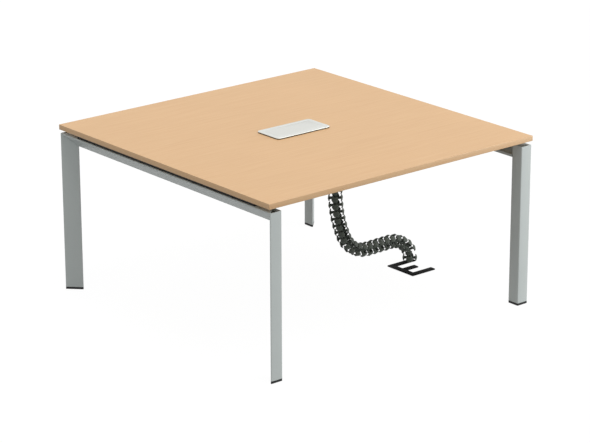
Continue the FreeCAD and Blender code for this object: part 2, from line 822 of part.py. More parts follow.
def spine_hanger():
    """A round plate under the top, with a stem that carries the first bead."""
    body = new_body("spine_hanger")
    plate = sketch_on(body, "XY_Plane", f"{UNDERSIDE} - hanger_thickness")
    add_round(plate, "hanger_radius", "spine_across", "spine_back", 2 * ROUND_SIDES)
    pad(body, plate, "hanger_thickness")
    pocket_rounds(body, "XY_Plane", UNDERSIDE, "screw_radius + hole_clearance", HANGER_SPOTS)
    bead = f"({UNDERSIDE} - hanger_length)"
    stem_foot = f"{bead} + neck_length"
    plate_under = f"{UNDERSIDE} - hanger_thickness"
    stem = [
        ("spine_across - hanger_taper / 2", plate_under),
        ("spine_across - stem_width / 2", stem_foot),
        ("spine_across + stem_width / 2", stem_foot),
        ("spine_across + hanger_taper / 2", plate_under),
    ]
    pad(body, add_loop(sketch_on(body, "XZ_Plane", "-spine_back"), stem), "hub_width", both_ways=True)
    add_bead(body, "spine_across", bead, "-spine_back")
    return body


def spine_base_clip(joint):
    """The socket on the foot plate that takes the last link's bead, with lobes like a link's."""
    body = new_body("spine_base_clip")
    foot = "(plate_steel - clip_joint_height)"
    middle = "(clip_lobe_height - clip_joint_height)"
    add_hub(body, foot)
    sole = sketch_on(body, "XY_Plane", foot)
    pad(body, add_round(sole, "clip_radius"), "clip_thickness")
    add_webs(body, middle)
    add_socket(body, tilt=f"(run_angle - drop_step * {DROP_LINKS})")
    add_lobes(body, middle)
    body.Placement = Placement(joint, Rotation(UP, -LOBE_TURN))
    return body


def spine_base_plate(joint):
    """A flat plate with three prongs, the clip near the tip of the first."""
    body = new_body("spine_base_plate")
    back = "(prong_tip - first_prong)"
    bar = f"({back} + prong_width)"
    middle_tip = f"({back} + middle_prong)"
    last_tip = f"({back} + last_prong)"
    first = ("prong_width / 2", "-prong_width / 2")
    last = ("(prong_width / 2 - foot_span + prong_width)", "(prong_width / 2 - foot_span)")
    centre = "(prong_width / 2 - foot_span / 2)"
    second = (f"{centre} + prong_width / 2", f"{centre} - prong_width / 2")
    outline = [(back, first[0]), ("prong_tip", first[0]), ("prong_tip", first[1]), (bar, first[1])]
    outline += [(bar, second[0]), (middle_tip, second[0]), (middle_tip, second[1]), (bar, second[1])]
    outline += [(bar, last[0]), (last_tip, last[0]), (last_tip, last[1]), (back, last[1])]
    pad(body, add_loop(sketch_on(body, "XY_Plane"), outline), "plate_steel")
    body.Placement = Placement(Vector(joint.x, joint.y, 0), Rotation())
    return body


# The whole table


def build():
    leg = left_front_leg()
    rail = left_rail()
    beam = front_beam()
    pieces = [table_top(), edge_bands(), top_spacers(), top_screws()]
    pieces += four_nodes("leg", leg)
    pieces += [rail, mirrored(rail, "right_rail", ACROSS)]
    pieces += [beam, mirrored(beam, "rear_beam", DEEP)]
    pieces += [
        at_four_corners("beam_end_plates", beam_end_plate()),
        at_four_corners("clamp_bars", clamp_bar()),
        at_four_corners("beam_bolts", beam_bolts()),
        at_four_corners("leg_plugs", leg_plug()),
    ]
    pieces += four_nodes("foot", left_front_foot())
    pieces += four_nodes("stud", left_front_stud())
    pieces += [box_bezel(), box_lid(), lid_hinge_rod(), box_well(), outlet_strip()]
    joints = spine_joints()
    pieces += [spine_hanger(), *spine_links(spine_link(), joints)]
    pieces += [spine_base_clip(joints[-1]), spine_base_plate(joints[-1])]
    for joint, angle in zip(joints, spine_angles() + [0.0]):
        place = f"{joint.x:.4f} {joint.y:.4f} {joint.z:.4f}"
        print(f"spine joint at {place}, next piece at {angle:.4f} degrees")
    return pieces


def export(pieces):
    doc.recompute()
    failed = [item.Label for item in doc.Objects if {"Invalid", "Error"} & set(item.State)]
    failed += [piece.Label for piece in pieces if piece.Shape.isNull() or not piece.Shape.isValid()]
    if failed:
        raise RuntimeError(f"failed: {failed}")
    os.makedirs("parts", exist_ok=True)
    for piece in pieces:
        piece.Shape.exportStep(f"parts/{piece.Label}.step")
        print(piece.Label, len(piece.Shape.Solids), round(piece.Shape.Volume))


export(build())
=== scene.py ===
import json
import math

import bmesh
import bpy
from mathutils import Matrix, Vector


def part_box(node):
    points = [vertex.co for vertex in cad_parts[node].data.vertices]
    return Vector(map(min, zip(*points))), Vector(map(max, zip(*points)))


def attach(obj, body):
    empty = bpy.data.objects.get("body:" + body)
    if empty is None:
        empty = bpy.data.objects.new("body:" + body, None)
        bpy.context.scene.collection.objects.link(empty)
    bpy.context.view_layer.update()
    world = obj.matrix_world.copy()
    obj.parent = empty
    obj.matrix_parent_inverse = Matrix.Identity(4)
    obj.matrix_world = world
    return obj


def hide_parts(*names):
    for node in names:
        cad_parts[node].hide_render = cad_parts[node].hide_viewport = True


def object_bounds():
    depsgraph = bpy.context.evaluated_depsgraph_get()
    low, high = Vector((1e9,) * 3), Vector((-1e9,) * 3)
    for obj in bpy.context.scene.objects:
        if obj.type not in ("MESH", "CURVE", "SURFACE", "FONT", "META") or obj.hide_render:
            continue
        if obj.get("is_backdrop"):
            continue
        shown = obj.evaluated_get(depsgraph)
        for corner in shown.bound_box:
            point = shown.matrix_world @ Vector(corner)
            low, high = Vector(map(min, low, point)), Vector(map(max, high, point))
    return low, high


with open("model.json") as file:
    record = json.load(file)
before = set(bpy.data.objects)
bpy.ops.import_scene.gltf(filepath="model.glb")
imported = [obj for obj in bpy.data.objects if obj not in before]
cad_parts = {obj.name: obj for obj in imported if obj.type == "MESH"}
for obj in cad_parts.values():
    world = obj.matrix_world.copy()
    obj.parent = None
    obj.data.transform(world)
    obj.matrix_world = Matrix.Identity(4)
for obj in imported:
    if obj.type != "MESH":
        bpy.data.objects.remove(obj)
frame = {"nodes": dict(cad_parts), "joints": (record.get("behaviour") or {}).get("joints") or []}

bl_info = {
    "name": "Square meeting table",
    "version": (1, 0, 0),
    "blender": (4, 5, 0),
    "location": "View3D > Sidebar > Meeting table",
    "description": "A square meeting table with a power box and a cable spine, modelled on its CAD frame",
    "category": "Object",
}

CAD_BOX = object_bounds()
MM = 0.001


def mm(*values):
    """Lengths in millimetres, as metres."""
    return [value * MM for value in values]


# The side frames' places that rounded corners hide from a node's box, in metres.
FRAME_OUT = 699 * MM
TUBE_SIDE = 60 * MM
FRAME_IN = FRAME_OUT - TUBE_SIDE
FRAME_TOP = 697 * MM
FRAME_BOTTOM = FRAME_TOP - TUBE_SIDE
LEG_BOTTOM = 10 * MM
# Half the angle of the tube's acute edges.
HALF_ACUTE = math.radians(22.5)
LEAST_RADIUS = 0.5 * MM

# How the left front corner's pieces are mirrored to each corner.
CORNERS = {"left_front": (1, 1), "left_rear": (1, -1), "right_front": (-1, 1), "right_rear": (-1, -1)}


def linear(code):
    """A colour's sRGB hex digits as linear red, green and blue."""
    shares = [int(code[i:i + 2], 16) / 255 for i in (0, 2, 4)]
    return [c / 12.92 if c <= 0.04045 else ((c + 0.055) / 1.055) ** 2.4 for c in shares]


# What a user would change


def length(name, description, millimetres):
    return bpy.props.FloatProperty(
        name=name, description=description, default=millimetres * MM, min=0.0, precision=5,
        subtype="DISTANCE", unit="LENGTH",
    )


def colour(name, description, code):
    return bpy.props.FloatVectorProperty(
        name=name, description=description, default=linear(code), size=3, min=0.0, max=1.0, subtype="COLOR",
    )


class TableSizes(bpy.types.PropertyGroup):
    """Sizes of the modelled pieces"""
    band_ease: length("Band easing", "Radius on the outer edges of the edge bands", 0.9)
    tube_radius: length("Tube radius", "Radius on the long edges of the three-sided tube", 3.5)
    tube_wall: length("Tube wall", "Wall of the three-sided tube", 2.5)
    beam_radius: length("Beam radius", "Radius on the long edges of the cross beams", 3)
    bezel_corner: length("Bezel corner", "Radius of the bezel's corners in plan", 15)
    bezel_slope: length("Bezel slope", "Width of the bevel round the bezel", 2.4)
    # The seal's black paints the shade line under the bezel's rim.
    shade_seal_height: length("Seal height", "Height of the black seal under the bezel", 3)
    lid_ease: length("Lid easing", "Bevel round the lid's upper edges", 0.6)
    lobe_slope: length("Lobe slope", "How far a lobe's ends stand back from its ridge", 3)
    thread_pitch: length("Thread pitch", "Pitch of the studs' thread", 1.25)
    plate_ease: length("Plate easing", "Bevel on the edges of the spine's foot plate", 0.8)


class TableColours(bpy.types.PropertyGroup):
    """Colours of the finishes"""
    top: colour("Top", "Printed wood decor of the top", "e1b98b")
    grain: colour("Grain", "Darker streaks of the decor", "d9ad7f")
    band: colour("Edge band", "Edging of the top", "dab68c")
    silver: colour("Frame", "Powder coat of the side frames", "c5ccca")
    beam: colour("Beams", "Powder coat of the cross beams", "a4a9a8")
    bezel: colour("Bezel", "Anodised frame of the power box", "dee0dc")
    lid: colour("Lid", "Anodised lid of the power box", "dadbd6")
    zinc: colour("Zinc", "Plated screws, bolts and studs", "b9bbb9")
    # On the spacer strips and the seal this black also paints shade: the gap under the top and the line under
    # the bezel's rim.
    black: colour("Black plastic", "Moulded feet, plugs, spacer strips and seal", "171718")
    coat: colour("Black coat", "Powder coat of the well and the spine's foot plate", "121212")
    strip: colour("Outlet strip", "Moulded body of the outlet strip", "2a2b2c")
    spine: colour("Spine", "Moulded links of the cable spine", "4e554d")


def sizes():
    return bpy.context.scene.table_sizes


# Materials


def add(tree, kind, inputs=None, **settings):
    """One node with its settings, the values of its inputs and the links to them."""
    node = tree.nodes.new(kind)
    for name, value in settings.items():
        setattr(node, name, value)
    for name, value in (inputs or {}).items():
        if isinstance(value, bpy.types.NodeSocket):
            tree.links.new(value, node.inputs[name])
        else:
            node.inputs[name].default_value = value
    return node


def new_material(name, shader_inputs):
    """An empty material with its shader, and the Object coordinates that its patterns read."""
    material = bpy.data.materials.new(name)
    material.use_nodes = True
    tree = material.node_tree
    tree.nodes.clear()
    shader = add(tree, "ShaderNodeBsdfPrincipled", shader_inputs)
    add(tree, "ShaderNodeOutputMaterial", {"Surface": shader.outputs["BSDF"]})
    place = add(tree, "ShaderNodeTexCoord").outputs["Object"]
    return material, tree, shader, place


def resin(name, roughness, sheen):
    """A material that is a paint, a film or a plastic."""
    return new_material(name, {"Roughness": roughness, "IOR": 1.5, "Specular IOR Level": sheen})


def metal(name, roughness):
    return new_material(name, {"Metallic": 1.0, "Roughness": roughness})


def rgba(tint, share=1.0):
    """A share of a finish's colour."""
    return [min(1.0, part * share) for part in getattr(bpy.context.scene.table_colours, tint)] + [1.0]


# Positions of a colour mix's sockets, whose names stand more than once on the node.
MIX_SHARE, MIX_FIRST, MIX_SECOND, MIX_RESULT = 0, 6, 7, 2


def per(millimetres):
    """The scale of a pattern whose features are so many millimetres wide."""
    return 1 / (millimetres * MM)


def noise(tree, place, millimetres, detail):
    """A cloudy pattern."""
    inputs = {"Vector": place, "Scale": per(millimetres), "Detail": detail}
    return add(tree, "ShaderNodeTexNoise", inputs).outputs["Fac"]


def streaks(tree, place, long, wide, **settings):
    """A pattern of streaks along X, so many millimetres long and wide."""
    scale = (per(long), per(wide), per(wide))
    stretched = add(tree, "ShaderNodeMapping", {"Vector": place, "Scale": scale}).outputs["Vector"]
    return add(tree, "ShaderNodeTexNoise", {"Vector": stretched, "Scale": 1.0, **settings}).outputs["Fac"]


def blend(tree, pattern, first, second):
    """Two colours mixed by a pattern."""
    inputs = {MIX_SHARE: pattern, MIX_FIRST: first, MIX_SECOND: second}
    return add(tree, "ShaderNodeMix", inputs, data_type="RGBA").outputs[MIX_RESULT]


def ranged(tree, pattern, low, high, **settings):
    """A pattern as values between two limits."""
    inputs = {"Value": pattern, "To Min": low, "To Max": high, **settings}
    return add(tree, "ShaderNodeMapRange", inputs).outputs["Result"]


def tone(tree, shader, pattern, tint, dark, light):
    """Shades a tint between two shares of it."""
    tree.links.new(blend(tree, pattern, rgba(tint, dark), rgba(tint, light)), shader.inputs["Base Color"])


def gloss(tree, shader, pattern, low, high):
    """Varies the roughness between two limits."""
    tree.links.new(ranged(tree, pattern, low, high), shader.inputs["Roughness"])


def emboss(tree, shader, pattern, strength, millimetres):
    """Raises the surface by a pattern."""
    inputs = {"Height": pattern, "Strength": strength, "Distance": millimetres * MM}
    tree.links.new(add(tree, "ShaderNodeBump", inputs).outputs["Normal"], shader.inputs["Normal"])


def wood_decor(name, first, second, roughness):
    """Printed wood decor under a matt resin film: faint streaks along X, broad tone, fine pearl."""
    material, tree, shader, place = resin(name, roughness, 0.35)
    grain = streaks(tree, place, 300, 5, Detail=5.0, Roughness=0.6, Distortion=0.4)
    clear = ranged(tree, grain, 0.0, 1.0, **{"From Min": 0.42, "From Max": 0.75})
    decor = blend(tree, clear, rgba(first), rgba(second))
    clouds = ranged(tree, noise(tree, place, 400, 2.0), 0.97, 1.03)
    toned = add(tree, "ShaderNodeVectorMath", {0: decor, "Scale": clouds}, operation="SCALE")
    tree.links.new(toned.outputs["Vector"], shader.inputs["Base Color"])
    # The film's pearl is about 0.3 mm wide, and is drawn at 2 mm so that it shows.
    emboss(tree, shader, noise(tree, place, 2, 1.0), 0.05, 0.2)
    return material


def powder_coat(name, tint, roughness, grit, strength, sheen=0.4):
    """Powder coat: baked paint with a fine orange-peel skin and hardly any change of tone."""
    material, tree, shader, place = resin(name, roughness, sheen)
    # The skin's waves are about 1 mm apart, drawn as coarse as the render can show.
    skin = noise(tree, place, grit, 2.0)
    tone(tree, shader, noise(tree, place, 180, 2.0), tint, 0.96, 1.04)
    gloss(tree, shader, skin, roughness - 0.05, roughness + 0.05)
    emboss(tree, shader, skin, strength, 0.1)
    return material


def moulded(name, tint, roughness, grain, strength):
    """Injection-moulded plastic: eroded mould texture, and scuffs that take off some of the sheen."""
    material, tree, shader, place = resin(name, roughness, 0.3)
    spark = add(tree, "ShaderNodeTexVoronoi", {"Vector": place, "Scale": per(grain)}).outputs["Distance"]
    scuffs = noise(tree, place, 25, 4.0)
    tone(tree, shader, scuffs, tint, 0.85, 1.18)
    gloss(tree, shader, scuffs, roughness - 0.08, roughness + 0.1)
    emboss(tree, shader, spark, strength, 0.08)
    return material


def brushed(name, tint, roughness, contrast):
    """Metal with a straight brushed finish: hair lines along the long side that streak its gloss."""
    material, tree, shader, place = metal(name, roughness)
    # Brush lines are about 0.1 mm wide, and are drawn at 0.8 mm so that they show.
    lines = streaks(tree, place, 90, 0.8, Detail=3.0)
    tone(tree, shader, lines, tint, 1 - contrast, 1 + contrast)
    gloss(tree, shader, lines, roughness - 0.08, roughness + 0.08)
    emboss(tree, shader, lines, 0.06, 0.05)
    return material


def plated(name, tint):
    """Plated steel: bright, with a cloudy passivated film."""
    material, tree, shader, place = metal(name, 0.35)
    clouds = noise(tree, place, 4, 4.0)
    tone(tree, shader, clouds, tint, 0.85, 1.1)
    gloss(tree, shader, clouds, 0.25, 0.45)
    return material


FINISHES = {
    # Melamine-faced chipboard with a beech decor: matt, warm, with quiet grain along the front edge.
    "melamine_board": (wood_decor, "melamine_beech_board", "top", "grain", 0.5),
    # ABS edging printed like the board: a touch smoother and darker than its face.
    "edge_band": (wood_decor, "abs_edge_band", "band", "grain", 0.42),
    # Satin silver-grey powder coat on steel tube.
    "silver_coat": (powder_coat, "silver_powder_coat", "silver", 0.42, 1.5, 0.08),
    # Grey powder coat on the beams that hide under the top.
    "beam_coat": (powder_coat, "grey_powder_coat", "beam", 0.5, 1.5, 0.1),
    # Black powder coat on sheet steel, with a coarser, duller skin.
    "black_coat": (powder_coat, "black_powder_coat", "coat", 0.7, 2, 0.15, 0.08),
    # Black polypropylene of the feet, plugs, spacer strips and seal, with a fine mould grain; on the strips
    # and the seal the black also paints shade.
    "black_plastic": (moulded, "moulded_polypropylene", "black", 0.5, 1, 0.2),
    # Dark flame-resistant polycarbonate of the outlet strip, smoother than the feet.
    "strip_plastic": (moulded, "moulded_polycarbonate", "strip", 0.4, 0.8, 0.12),
    # Charcoal polyamide of the spine's links, satin from the mould.
    "spine_plastic": (moulded, "moulded_polyamide", "spine", 0.48, 1, 0.15),
    # Pale satin anodised aluminium of the bezel.
    "bezel_aluminium": (brushed, "anodised_bezel", "bezel", 0.4, 0.03),
    # The lid's anodised aluminium, a little greyer than the bezel round it.
    "lid_aluminium": (brushed, "anodised_lid", "lid", 0.36, 0.04),
    # Zinc-plated steel of the screws, bolts, studs, clamps and contacts.
    "zinc_steel": (plated, "zinc_plated_steel", "zinc"),
}
made = {}


def coat(obj, slot):
    """Gives a piece or a CAD node the one material of its slot."""
    if slot not in made:
        make, *values = FINISHES[slot]
        made[slot] = make(*values)
    obj.data.materials.clear()
    obj.data.materials.append(made[slot])


# Modelling


def object_mode():
    bpy.ops.object.mode_set(mode="OBJECT")


def clear_selection():
    """Leaves edit mode and selects nothing."""
    if bpy.context.mode != "OBJECT":
        object_mode()
    bpy.ops.object.select_all(action="DESELECT")


def begin(name, primitive, **settings):
    """A fresh primitive, alone in the selection, with its place and size in its mesh."""
    clear_selection()
    primitive(**settings)
    obj = bpy.context.object
    obj.name = obj.data.name = name
    bpy.ops.object.transform_apply(location=True, rotation=True, scale=True)
    return obj


def block(name, low, high):
    low, high = Vector(low), Vector(high)
    return begin(name, bpy.ops.mesh.primitive_cube_add, size=1, location=(low + high) / 2, scale=high - low)


def post(name, x, y, across, deep, bottom, top):
    """A block about an upright axis, by half its width and half its depth."""
    return block(name, (x - across, y - deep, bottom), (x + across, y + deep, top))


RIGHT, DEEP, UP = (1, 0, 0), (0, 1, 0), (0, 0, 1)
TURNED = {"X": (0, math.pi / 2, 0), "Y": (math.pi / 2, 0, 0), "Z": (0, 0, 0)}


def rod(name, radius, start, depth, axis="Z", sides=32):
    """A cylinder that goes from its start along an axis."""
    step = Vector([depth / 2 if letter == axis else 0 for letter in "XYZ"])
    return begin(name, bpy.ops.mesh.primitive_cylinder_add, vertices=sides, radius=radius, depth=abs(depth),
                 location=Vector(start) + step, rotation=TURNED[axis])


def only(obj):
    """Makes a piece the one that is selected and active."""
    clear_selection()
    obj.select_set(True)
    bpy.context.view_layer.objects.active = obj


def discard(obj):
    """Removes a pattern or a tool that has done its work."""
    bpy.data.meshes.remove(obj.data)


def pick(obj, kind, test):
    """Selects, in edit mode, the faces or edges that a test accepts."""
    only(obj)
    bpy.ops.object.mode_set(mode="EDIT")
    bpy.context.tool_settings.mesh_select_mode = (False, kind == "edges", kind == "faces")
    bpy.ops.mesh.select_all(action="DESELECT")
    mesh = bmesh.from_edit_mesh(obj.data)
    for item in [item for item in getattr(mesh, kind) if test(item)]:
        item.select_set(True)
    mesh.select_flush_mode()
    bmesh.update_edit_mesh(obj.data)


def same(first, second, near=0.01 * MM):
    return abs(first - second) < near


# The least share of a face's normal along the way that the face is said to point.
FLAT = 0.99


def facing(direction):
    """A test for faces whose normal points a given way."""
    way = Vector(direction).normalized()
    return lambda face: face.normal.dot(way) > FLAT


def ends(axis):
    """A test for the faces at both ends of an axis."""
    return lambda face: abs(face.normal[axis]) > FLAT


def between(direction, axis, low, high):
    """A test for faces that point a given way and have their middle between two places on an axis."""
    points = facing(direction)
    return lambda face: points(face) and low < face.calc_center_median()[axis] < high


def every(item):
    return True


def along(direction, spots=None):
    """A test for edges parallel to a direction, and through one of the given spots where they are given."""
    way = Vector(direction).normalized()
    shortest, skew, near = 1e-9, 1e-3, 0.05 * MM

    def test(edge):
        first, second = (vertex.co for vertex in edge.verts)
        run = second - first
        if run.length < shortest or run.normalized().cross(way).length > skew:
            return False
        return spots is None or any((Vector(spot) - first).cross(way).length < near for spot in spots)

    return test


def level(axis, *places):
    """A test for edges that lie across an axis, at one of the given places on it."""
    return lambda edge: any(all(same(vertex.co[axis], place) for vertex in edge.verts) for place in places)


def edit(obj, kind, test, operator, **settings):
    """Runs an edit-mode operator on the faces or edges that a test accepts."""
    pick(obj, kind, test)
    operator(**settings)
    object_mode()


def bevel(obj, width, segments, test):
    edit(obj, "edges", test, bpy.ops.mesh.bevel, offset=width, segments=segments, profile=0.5, affect="EDGES",
         clamp_overlap=True)


def flare(obj, share, point):
    """Widens the top of a block along X."""
    edit(obj, "faces", facing(UP), bpy.ops.transform.resize, value=(share, 1, 1), center_override=point)


def slice_off(obj, point, normal, fill=True):
    """Cuts a piece by a plane and drops the side that the normal points to."""
    edit(obj, "faces", every, bpy.ops.mesh.bisect, plane_co=point, plane_no=normal, use_fill=fill,
         clear_outer=True)


def split(obj, axis, place):
    """Cuts every face that crosses a plane, and keeps both sides."""
    normal = [1.0 if number == axis else 0.0 for number in range(3)]
    point = [part * place for part in normal]
    edit(obj, "faces", every, bpy.ops.mesh.bisect, plane_co=point, plane_no=normal)


def sink(obj, test, rim, depth):
    """Insets the chosen faces by a rim and moves what is inside it along the normal by the depth."""
    pick(obj, "faces", test)
    bpy.ops.mesh.inset(thickness=rim, depth=0)
    bpy.ops.mesh.extrude_region_shrink_fatten(TRANSFORM_OT_shrink_fatten={"value": depth})
    object_mode()


def apply(obj, kind, **settings):
    """Adds a modifier and applies it."""
    only(obj)
    modifier = obj.modifiers.new(kind.lower(), kind)
    for name, value in settings.items():
        setattr(modifier, name, value)
    bpy.ops.object.modifier_apply(modifier=modifier.name)
    if not obj.data.polygons:
        raise RuntimeError(f"{obj.name} is empty after {kind}")


def cut(obj, tool, operation="DIFFERENCE"):
    """Cuts a tool out of a piece, and removes the tool."""
    apply(obj, "BOOLEAN", operation=operation, object=tool, solver="EXACT")
    discard(tool)


def fuse(obj, tool):
    """Joins a tool to a piece instead."""
    cut(obj, tool, "UNION")


def hollow(obj, test, wall):
    """Drops the chosen faces and gives the open shell its wall, to the inside."""
    edit(obj, "faces", test, bpy.ops.mesh.delete, type="FACE")
    apply(obj, "SOLIDIFY", thickness=wall, offset=-1.0, use_even_offset=True)


def copy_of(obj, name, matrix):
    """A copy with its own mesh, moved by a matrix; a mirrored one is turned right side out."""
    copy = obj.copy()
    copy.data = obj.data.copy()
    copy.name = copy.data.name = name
    bpy.context.scene.collection.objects.link(copy)
    copy.data.transform(matrix)
    if matrix.determinant() < 0:
        copy.data.flip_normals()
    return copy


move = Matrix.Translation


def mirror(x, y):
    return Matrix.Diagonal((x, y, 1, 1))


def four(piece):
    """The left front corner's piece and its mirror images at the other corners."""
    return [piece] + [copy_of(piece, piece.name, mirror(*signs)) for signs in list(CORNERS.values())[1:]]


def each_corner(piece, label):
    """Each corner's name with the left front corner's piece, mirrored to it."""
    for corner, (x, y) in CORNERS.items():
        yield corner, piece if corner == "left_front" else copy_of(piece, f"{corner}_{label}", mirror(x, y))


def centre(node):
    return sum(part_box(node), Vector()) / 2


def joined(name, pieces):
    """Several separate solids as one piece."""
    only(pieces[0])
    for piece in pieces:
        piece.select_set(True)
    bpy.ops.object.join()
    obj = bpy.context.object
    obj.name = obj.data.name = name
    return obj


def finish(obj, slot, body, *nodes, smooth=35):
    """Shades a piece, coats it, and sets it on its body in place of its CAD nodes."""
    only(obj)
    bpy.ops.object.shade_smooth_by_angle(angle=math.radians(smooth))
    coat(obj, slot)
    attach(obj, body)
    if nodes:
        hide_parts(*nodes)


# Top


def top_board():
    """The board, with a hole a little wider than the well whose flange covers it."""
    low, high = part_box("table_top")
    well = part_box("box_well")[1]
    flange, play, rim = mm(12, 1, 300)
    board = block("top_board", low, high)
    pick(board, "faces", ends(2))
    bpy.ops.mesh.inset(thickness=rim)
    inner = high.x - rim
    reach = ((well.x - flange + play) / inner, (well.y - flange + play) / inner, 1)
    bpy.ops.transform.resize(value=reach, center_override=(0, 0, (low.z + high.z) / 2))
    bpy.ops.mesh.bridge_edge_loops()
    object_mode()
    finish(board, "melamine_board", "table", "table_top")


def edge_bands():
    low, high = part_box("edge_bands")
    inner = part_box("table_top")[1]
    ease = sizes().band_ease
    front = block("front_band", low, (high.x, -inner.y, high.z))
    bevel(front, ease, 3, level(1, low.y))
    left = block("left_band", (low.x, -inner.y, low.z), (-inner.x, inner.y, high.z))
    bevel(left, ease, 3, lambda edge: level(0, low.x)(edge) and along(DEEP)(edge))
    rear = copy_of(front, "rear_band", mirror(1, -1))
    right = copy_of(left, "right_band", mirror(-1, 1))
    finish(joined("top_edge_bands", [front, left, rear, right]), "edge_band", "table", "edge_bands")


# Side frames


def round_tube(tube, radius, way, square, acute):
    """Rounds a three-sided tube along its length: the edge with a right angle, and the two acute ones."""
    bevel(tube, radius, 5, along(way, [square]))
    bevel(tube, radius / math.tan(HALF_ACUTE), 7, along(way, acute))


def corner_prism(name, bottom, top, inset=0.0):
    """The left front leg's three-sided outline as an upright prism with its long edges rounded."""
    x, y = -FRAME_IN - inset, -FRAME_OUT + inset
    side = TUBE_SIDE - (2 + math.sqrt(2)) * inset
    prism = block(name, (x - side, y, bottom), (x, y + side, top))
    slice_off(prism, (x, y + side, 0), (-1, 1, 0))
    radius = max(sizes().tube_radius - inset, LEAST_RADIUS)
    round_tube(prism, radius, UP, (x, y, 0), [(x - side, y, 0), (x, y + side, 0)])
    return prism


def legs():
    leg = corner_prism("left_front_leg_tube", LEG_BOTTOM, FRAME_TOP)
    hollow(leg, ends(2), sizes().tube_wall)
    for corner, tube in each_corner(leg, "leg_tube"):
        finish(tube, "silver_coat", "table", f"{corner}_leg")


def rails():
    """The rail has the legs' outline, its inner side open between two lips and its ends coped to the legs."""
    rail = block("left_rail_channel", (-FRAME_OUT, -FRAME_OUT, FRAME_BOTTOM),
                 (-FRAME_IN, FRAME_OUT, FRAME_TOP))
    outer_edge, lower_edge = (-FRAME_OUT, 0, FRAME_TOP), (-FRAME_IN, 0, FRAME_BOTTOM)
    slice_off(rail, outer_edge, (-1, 0, -1))
    round_tube(rail, sizes().tube_radius, DEEP, (-FRAME_IN, 0, FRAME_TOP), [outer_edge, lower_edge])
    for end in (-1, 1):
        slice_off(rail, (-FRAME_OUT, end * FRAME_OUT, 0), (1, end, 0), fill=False)
    upper_lip, lower_lip = mm(12, 16)
    upper, lower = FRAME_TOP - upper_lip, FRAME_BOTTOM + lower_lip
    split(rail, 2, upper)
    split(rail, 2, lower)
    hollow(rail, between(RIGHT, 2, lower, upper), sizes().tube_wall)
    right = copy_of(rail, "right_rail_channel", mirror(-1, 1))
    finish(rail, "silver_coat", "table", "left_rail")
    finish(right, "silver_coat", "table", "right_rail")


# Beams and fasteners


BEAM_WALL = 2 * MM


def beams():
    beam = block("front_cross_beam", *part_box("front_beam"))
    bevel(beam, sizes().beam_radius, 4, along(RIGHT))
    hollow(beam, ends(0), BEAM_WALL)
    rear = copy_of(beam, "rear_cross_beam", mirror(1, -1))
    finish(beam, "beam_coat", "table", "front_beam")
    finish(rear, "beam_coat", "table", "rear_beam")


def end_plates():
    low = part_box("beam_end_plates")[0]
    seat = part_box("front_beam")[0].x
    middle = centre("front_beam")
    corner, ease = mm(6, 0.6)
    plate = block("end_plate", low, (seat, 2 * middle.y - low.y, 2 * middle.z - low.z))
    bevel(plate, corner, 4, along(RIGHT))
    bevel(plate, ease, 2, level(0, low.x, seat))
    finish(joined("welded_end_plates", four(plate)), "beam_coat", "table", "beam_end_plates")


def beam_bolts():
    """Socket-head bolts: a turned head with a hexagon recess, and a plain shank through plate and clamp."""
    tip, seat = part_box("beam_bolts")[0].x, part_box("front_beam")[0].x
    middle = centre("front_beam")
    spread, ease = mm(30, 0.8)
    head, head_radius, shank_radius = mm(6, 6.5, 4)
    recess, recess_radius = mm(3.5, 3.4)
    y, z = middle.y - spread, middle.z
    bolt = rod("bolt", head_radius, (seat, y, z), head, axis="X")
    bevel(bolt, ease, 2, level(0, seat + head))
    cut(bolt, rod("hexagon", recess_radius, (seat + head - recess, y, z), head, "X", 6))
    shank = rod("shank", shank_radius, (seat, y, z), tip - seat, axis="X", sides=20)
    bevel(shank, ease, 1, level(0, tip))
    bolt = joined("bolt", [bolt, shank])
    other = copy_of(bolt, "bolt", move((0, 2 * spread, 0)))
    pair = joined("bolts", [bolt, other])
    finish(joined("socket_head_bolts", four(pair)), "zinc_steel", "table", "beam_bolts")


# The screws' line over each rail and their places on it, and the strip along that line.
SCREW_X, SCREW_NEAR, SCREW_FAR = mm(663, 180, 560)
STRIP_HALF, STRIP_REACH = mm(23, 590)
# The thickness of the spine's hanger, and the circle of its screws.
HANGER_PLATE, HANGER_SCREWS = mm(4, 26)


def spacer_and_shade_strips():
    """Moulded strips with eased edges, which hold the top clear of the rails; they run unbroken and black so
    that they paint the shade in the gap under the top.
    """
    low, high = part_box("top_spacers")
    corner, ease = mm(4, 0.8)
    # One unbroken black strip over each rail, in place of the round spacers, paints the shade in the gap
    # between the top and the rail.
    strip = post("strip", -SCREW_X, 0, STRIP_HALF, STRIP_REACH, low.z, high.z)
    bevel(strip, corner, 3, along(UP))
    bevel(strip, ease, 2, level(2, low.z, high.z))
    other = copy_of(strip, "strip", mirror(-1, 1))
    finish(joined("moulded_spacer_strips", [strip, other]), "black_plastic", "table", "top_spacers")


def wood_screw(seat, tip):
    """A pan-head screw with a cross recess, its head under the seat and its point at the tip."""
    head, head_radius, dome = mm(4, 6, 2.2)
    shank_radius, point = mm(2.9, 2.4)
    wing, blade, recess = mm(3.2, 0.7, 2.2)
    face = seat - head
    screw = rod("screw", head_radius, (0, 0, face), head, sides=28)
    bevel(screw, dome, 4, level(2, face))
    for across, deep in ((wing, blade), (blade, wing)):
        cut(screw, post("cross", 0, 0, across, deep, face - head, face + recess))
    shank = rod("shank", shank_radius, (0, 0, seat), tip - seat, sides=16)
    bevel(shank, point, 1, level(2, tip))
    return joined("screw", [screw, shank])


